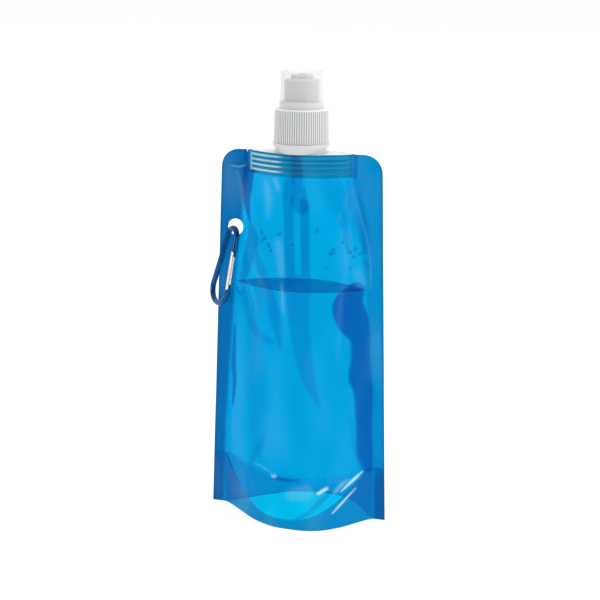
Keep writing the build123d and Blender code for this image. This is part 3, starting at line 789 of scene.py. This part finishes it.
def ribbed_material(name, colour, painted_groove_shade):
    """White plastic with painted shade in the grooves between the ribs, found from the distance to the cap's
    axis.
    """
    mat, nodes, links, out = material(name)
    normal, grain = bump(nodes, links, 900.0, 0.05, 0.0002)
    place = nodes.new("ShaderNodeTexCoord")
    axes = nodes.new("ShaderNodeSeparateXYZ")
    links.new(place.outputs["Object"], axes.inputs["Vector"])
    x, y, z = axes.outputs
    x_squared = math_node(nodes, links, "POWER", x, 2.0)
    y_squared = math_node(nodes, links, "POWER", y, 2.0)
    squares = math_node(nodes, links, "ADD", x_squared, y_squared)
    radius = math_node(nodes, links, "SQRT", squares, 0.0)
    height = math_node(nodes, links, "SUBTRACT", z, SKIRT_BOTTOM * MM)
    rise = math_node(nodes, links, "MULTIPLY", height, SKIRT_TAPER / SKIRT_HEIGHT)
    straightened = math_node(nodes, links, "ADD", radius, rise)
    depth = math_node(nodes, links, "SUBTRACT", straightened, SKIRT_BOTTOM_RADIUS * MM)
    crest = nodes.new("ShaderNodeMapRange")
    crest.inputs["From Min"].default_value = 0.1 * RIB_HEIGHT * MM
    crest.inputs["From Max"].default_value = 0.9 * RIB_HEIGHT * MM
    links.new(depth, crest.inputs["Value"])
    above = math_node(nodes, links, "GREATER_THAN", z, (SKIRT_BOTTOM + SKIRT_HEIGHT) * MM)
    share = math_node(nodes, links, "MAXIMUM", crest.outputs["Result"], above)
    body = add(nodes, "BsdfPrincipled", Roughness=0.42, IOR=1.5)
    # Painted shade in the grooves; the plain colour on the rib crests and above the skirt.
    shade = mix_colour(nodes, links, share, painted_groove_shade, colour)
    cloudy = nodes.new("ShaderNodeMix")
    cloudy.data_type = "RGBA"
    cloudy.blend_type = "MULTIPLY"
    cloudy.inputs["Factor"].default_value = 0.06
    links.new(shade, cloudy.inputs["A"])
    links.new(grain, cloudy.inputs["B"])
    links.new(cloudy.outputs["Result"], body.inputs["Base Color"])
    links.new(normal, body.inputs["Normal"])
    links.new(body.outputs[0], out.inputs["Surface"])
    return mat


def metal_material(name, colour, roughness, coat, grain_scale, strength):
    """Polished or anodised metal with fine scratches and uneven gloss."""
    mat, nodes, links, out = material(name)
    normal, grain = bump(nodes, links, grain_scale, strength, 0.0001, stretch=(1, 1, 0.15))
    body = add(nodes, "BsdfPrincipled", Metallic=1.0)
    body.inputs["Coat Weight"].default_value = coat
    body.inputs["Coat Roughness"].default_value = 0.06
    shade = mix_colour(nodes, links, grain, [c * 0.85 for c in colour], colour)
    links.new(shade, body.inputs["Base Color"])
    rough = math_node(nodes, links, "MULTIPLY", grain, roughness)
    links.new(math_node(nodes, links, "ADD", rough, roughness * 0.5), body.inputs["Roughness"])
    links.new(normal, body.inputs["Normal"])
    links.new(body.outputs[0], out.inputs["Surface"])
    return mat


film = film_material("blue_film")
# The second colour is the painted shade in the grooves between the ribs.
cap_white = ribbed_material("cap_white", (0.90, 0.915, 0.91), (0.50, 0.515, 0.515))
natural_white = plastic_material("natural_white", (0.76, 0.765, 0.76), 0.45, 700.0, 0.05, 0.05)
nozzle_white = plastic_material("nozzle_white", (0.72, 0.73, 0.725), 0.5, 800.0, 0.05, 0.0)
liner_white = plastic_material("liner_white", (0.80, 0.80, 0.78), 0.6, 1500.0, 0.2, 0.1)
# The cover's pale grey skin, thickest at grazing angles, is a painted reflection at the edges of the clear
# walls.
clear_cover = sheer_material("clear_cover", (0.985, 0.985, 0.985), (0.90, 0.91, 0.91), 0.22, 0.5)
blue_metal = metal_material("blue_anodised", (0.002, 0.085, 0.26), 0.14, 0.25, 500.0, 0.04)
bare_metal = metal_material("bare_metal", (0.80, 0.735, 0.735), 0.30, 0.0, 900.0, 0.10)
pin_metal = metal_material("pin_metal", (0.62, 0.60, 0.62), 0.30, 0.0, 900.0, 0.10)
spring_metal = metal_material("spring_metal", (0.60, 0.60, 0.60), 0.35, 0.0, 900.0, 0.10)

NODE_MATERIALS = {
    "spout_fitment": natural_white,
    "tamper_band": natural_white,
    "screw_cap": cap_white,
    "cap_seal": liner_white,
    "nozzle": nozzle_white,
    "dust_cover": clear_cover,
    "carabiner_body": blue_metal,
    "carabiner_gate": bare_metal,
    "gate_pivot_pin": pin_metal,
    "gate_nose_pin": pin_metal,
    "gate_spring": spring_metal,
}
for node, mat in NODE_MATERIALS.items():
    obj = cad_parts[node]
    if not obj.material_slots:
        obj.data.materials.append(mat)
    for item in obj.material_slots:
        item.material = mat

# ---- Pieces ----
for name, side in (("front_film", -1), ("back_film", 1)):
    panel = film_panel(name, side)
    panel.data.materials.append(film)
    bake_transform(panel)
    prefix = "front_panel" if side < 0 else "back_panel"
    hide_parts(prefix + "_body", prefix + "_crease", prefix + "_top")

gusset = gusset_film()
# The gusset's paler tint is painted light.
gusset.data.materials.append(sheer_material("gusset_blue", GUSSET_PAINTED_LIGHT_TINT, FILM_COLOUR, 0.035, 0.3))
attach(gusset, "pouch")
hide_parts("bottom_gusset")

for piece, mat in (
    (water_body(), sheer_material("water", (0.93, 0.985, 1.0), (0.02, 0.40, 0.70), 0.04, 0.4)),
    # The water top's dark blue skin is painted shade along the water line.
    (water_surface(), sheer_material("water_top_painted_shade", (0.10, 0.62, 0.82), (0.0, 0.11, 0.36), 0.42, 0.2)),
    # The drops' dark blue skin, thickest at their rims, is painted shade standing in for light bent by the
    # drops.
    (drops(), sheer_material("drop_water_painted_rims", (0.75, 0.92, 0.98), (0.0, 0.12, 0.38), 0.34, 0.5)),
):
    piece.data.materials.append(mat)
    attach(piece, "pouch")

# ---- Floor, lights and camera ----
FLOOR_HALF = 6.0
FLOOR_GAP = 0.0002
FLOOR_DIFFUSE = 0.3
FLOOR_GLOW = 0.8
floor_mesh = bpy.data.meshes.new("floor")
corners = [(x * FLOOR_HALF, y * FLOOR_HALF, 0) for x, y in ((-1, -1), (1, -1), (1, 1), (-1, 1))]
floor_mesh.from_pydata(corners, [], [(0, 1, 2, 3)])
floor = bpy.data.objects.new("floor", floor_mesh)
floor.location.z = -FLOOR_GAP
scene.collection.objects.link(floor)
floor_mat, nodes, links, out = material("pale_floor")
pale = add(nodes, "BsdfPrincipled", Roughness=0.7)
pale.inputs["Base Color"].default_value = (FLOOR_DIFFUSE, FLOOR_DIFFUSE, FLOOR_DIFFUSE, 1)
pale.inputs["Specular IOR Level"].default_value = 0.0
pale.inputs["Emission Color"].default_value = (1, 1, 1, 1)
pale.inputs["Emission Strength"].default_value = FLOOR_GLOW
links.new(pale.outputs[0], out.inputs["Surface"])
floor.data.materials.append(floor_mat)

SHADE_SIDE = Vector((0.15, -1.0, 0.1)).normalized()
BACKDROP = 1.0
LIGHT_FROM_FRONT = 0.34
LIGHT_FROM_BACK = 1.0
SHADE_START = -0.3
SHADE_FULL = 0.9


def studio_world():
    """White backdrop; as a light it is dimmer on the camera's side and brighter behind and beside."""
    world = bpy.data.worlds.new("studio")
    scene.world = world
    world.use_nodes = True
    nodes, links = world.node_tree.nodes, world.node_tree.links
    place = nodes.new("ShaderNodeTexCoord")
    facing = nodes.new("ShaderNodeVectorMath")
    facing.operation = "DOT_PRODUCT"
    facing.inputs[1].default_value = SHADE_SIDE
    links.new(place.outputs["Generated"], facing.inputs[0])
    ramp = add(nodes, "MapRange")
    ramp.interpolation_type = "SMOOTHSTEP"
    ramp.inputs["From Min"].default_value = SHADE_START
    ramp.inputs["From Max"].default_value = SHADE_FULL
    ramp.inputs["To Min"].default_value = LIGHT_FROM_BACK
    ramp.inputs["To Max"].default_value = LIGHT_FROM_FRONT
    links.new(facing.outputs["Value"], ramp.inputs["Value"])
    path = nodes.new("ShaderNodeLightPath")
    camera_ray = path.outputs["Is Camera Ray"]
    through_ray = path.outputs["Is Transmission Ray"]
    seen = math_node(nodes, links, "MAXIMUM", camera_ray, through_ray)
    strength = nodes.new("ShaderNodeMix")
    links.new(seen, strength.inputs["Factor"])
    links.new(ramp.outputs["Result"], strength.inputs["A"])
    strength.inputs["B"].default_value = BACKDROP
    links.new(strength.outputs["Result"], nodes["Background"].inputs["Strength"])
    nodes["Background"].inputs["Color"].default_value = (1.0, 1.0, 1.0, 1)


def area_light(name, place, target, size, power, diffuse=True):
    """Soft box aimed at a point, in metres and watts; without diffuse it only glints."""
    data = bpy.data.lights.new(name, "AREA")
    data.shape = "RECTANGLE"
    data.size, data.size_y = size
    data.energy = power
    obj = bpy.data.objects.new(name, data)
    obj.location = place
    obj.rotation_euler = (Vector(target) - Vector(place)).to_track_quat("-Z", "Y").to_euler()
    obj.visible_diffuse = diffuse
    obj.visible_transmission = diffuse
    scene.collection.objects.link(obj)
    return obj


SUN_STRENGTH = 1.7
SUN_SPREAD = math.radians(70)

studio_world()
overhead = bpy.data.objects.new("overhead", bpy.data.lights.new("overhead", "SUN"))
overhead.data.energy = SUN_STRENGTH
overhead.data.angle = SUN_SPREAD
overhead.visible_glossy = False
overhead.rotation_euler = (math.radians(-8), math.radians(6), 0)
scene.collection.objects.link(overhead)

CENTRE = (0, 0, 0.14)
side = area_light("side", (0.9, -0.35, 0.35), CENTRE, (0.35, 0.8), 1.4)
side.visible_glossy = False
area_light("left_glint", (-0.62, -0.75, 0.42), CENTRE, (0.10, 0.4), 1.4, False)
area_light("right_glint", (0.75, -0.55, 0.10), CENTRE, (0.05, 0.25), 0.5, False)

CAMERA_AZIMUTH = math.radians(17.0)
CAMERA_ELEVATION = math.radians(13.14)
CAMERA_ROLL = math.radians(0.6)
CAMERA_DISTANCE = 0.930
CAMERA_AIM_HEIGHT = 0.1378
CAMERA_AIM_SIDE = 0.0002
LENS_MM = 90.0
SENSOR_MM = 36.0
back = Vector(
    (
        math.sin(CAMERA_AZIMUTH) * math.cos(CAMERA_ELEVATION),
        -math.cos(CAMERA_AZIMUTH) * math.cos(CAMERA_ELEVATION),
        math.sin(CAMERA_ELEVATION),
    )
)
level = Vector((math.cos(CAMERA_AZIMUTH), math.sin(CAMERA_AZIMUTH), 0))
upright = back.cross(level)
right = level * math.cos(CAMERA_ROLL) + upright * math.sin(CAMERA_ROLL)
up = upright * math.cos(CAMERA_ROLL) - level * math.sin(CAMERA_ROLL)
lens = bpy.data.cameras.new("camera")
lens.lens = LENS_MM
lens.sensor_width = SENSOR_MM
camera = bpy.data.objects.new("camera", lens)
aim = Vector((0, 0, CAMERA_AIM_HEIGHT)) + level * CAMERA_AIM_SIDE
turn = Matrix((right, up, back)).transposed().to_4x4()
camera.matrix_world = Matrix.Translation(aim + back * CAMERA_DISTANCE) @ turn
scene.collection.objects.link(camera)
scene.camera = camera
scene.view_settings.view_transform = "Standard"
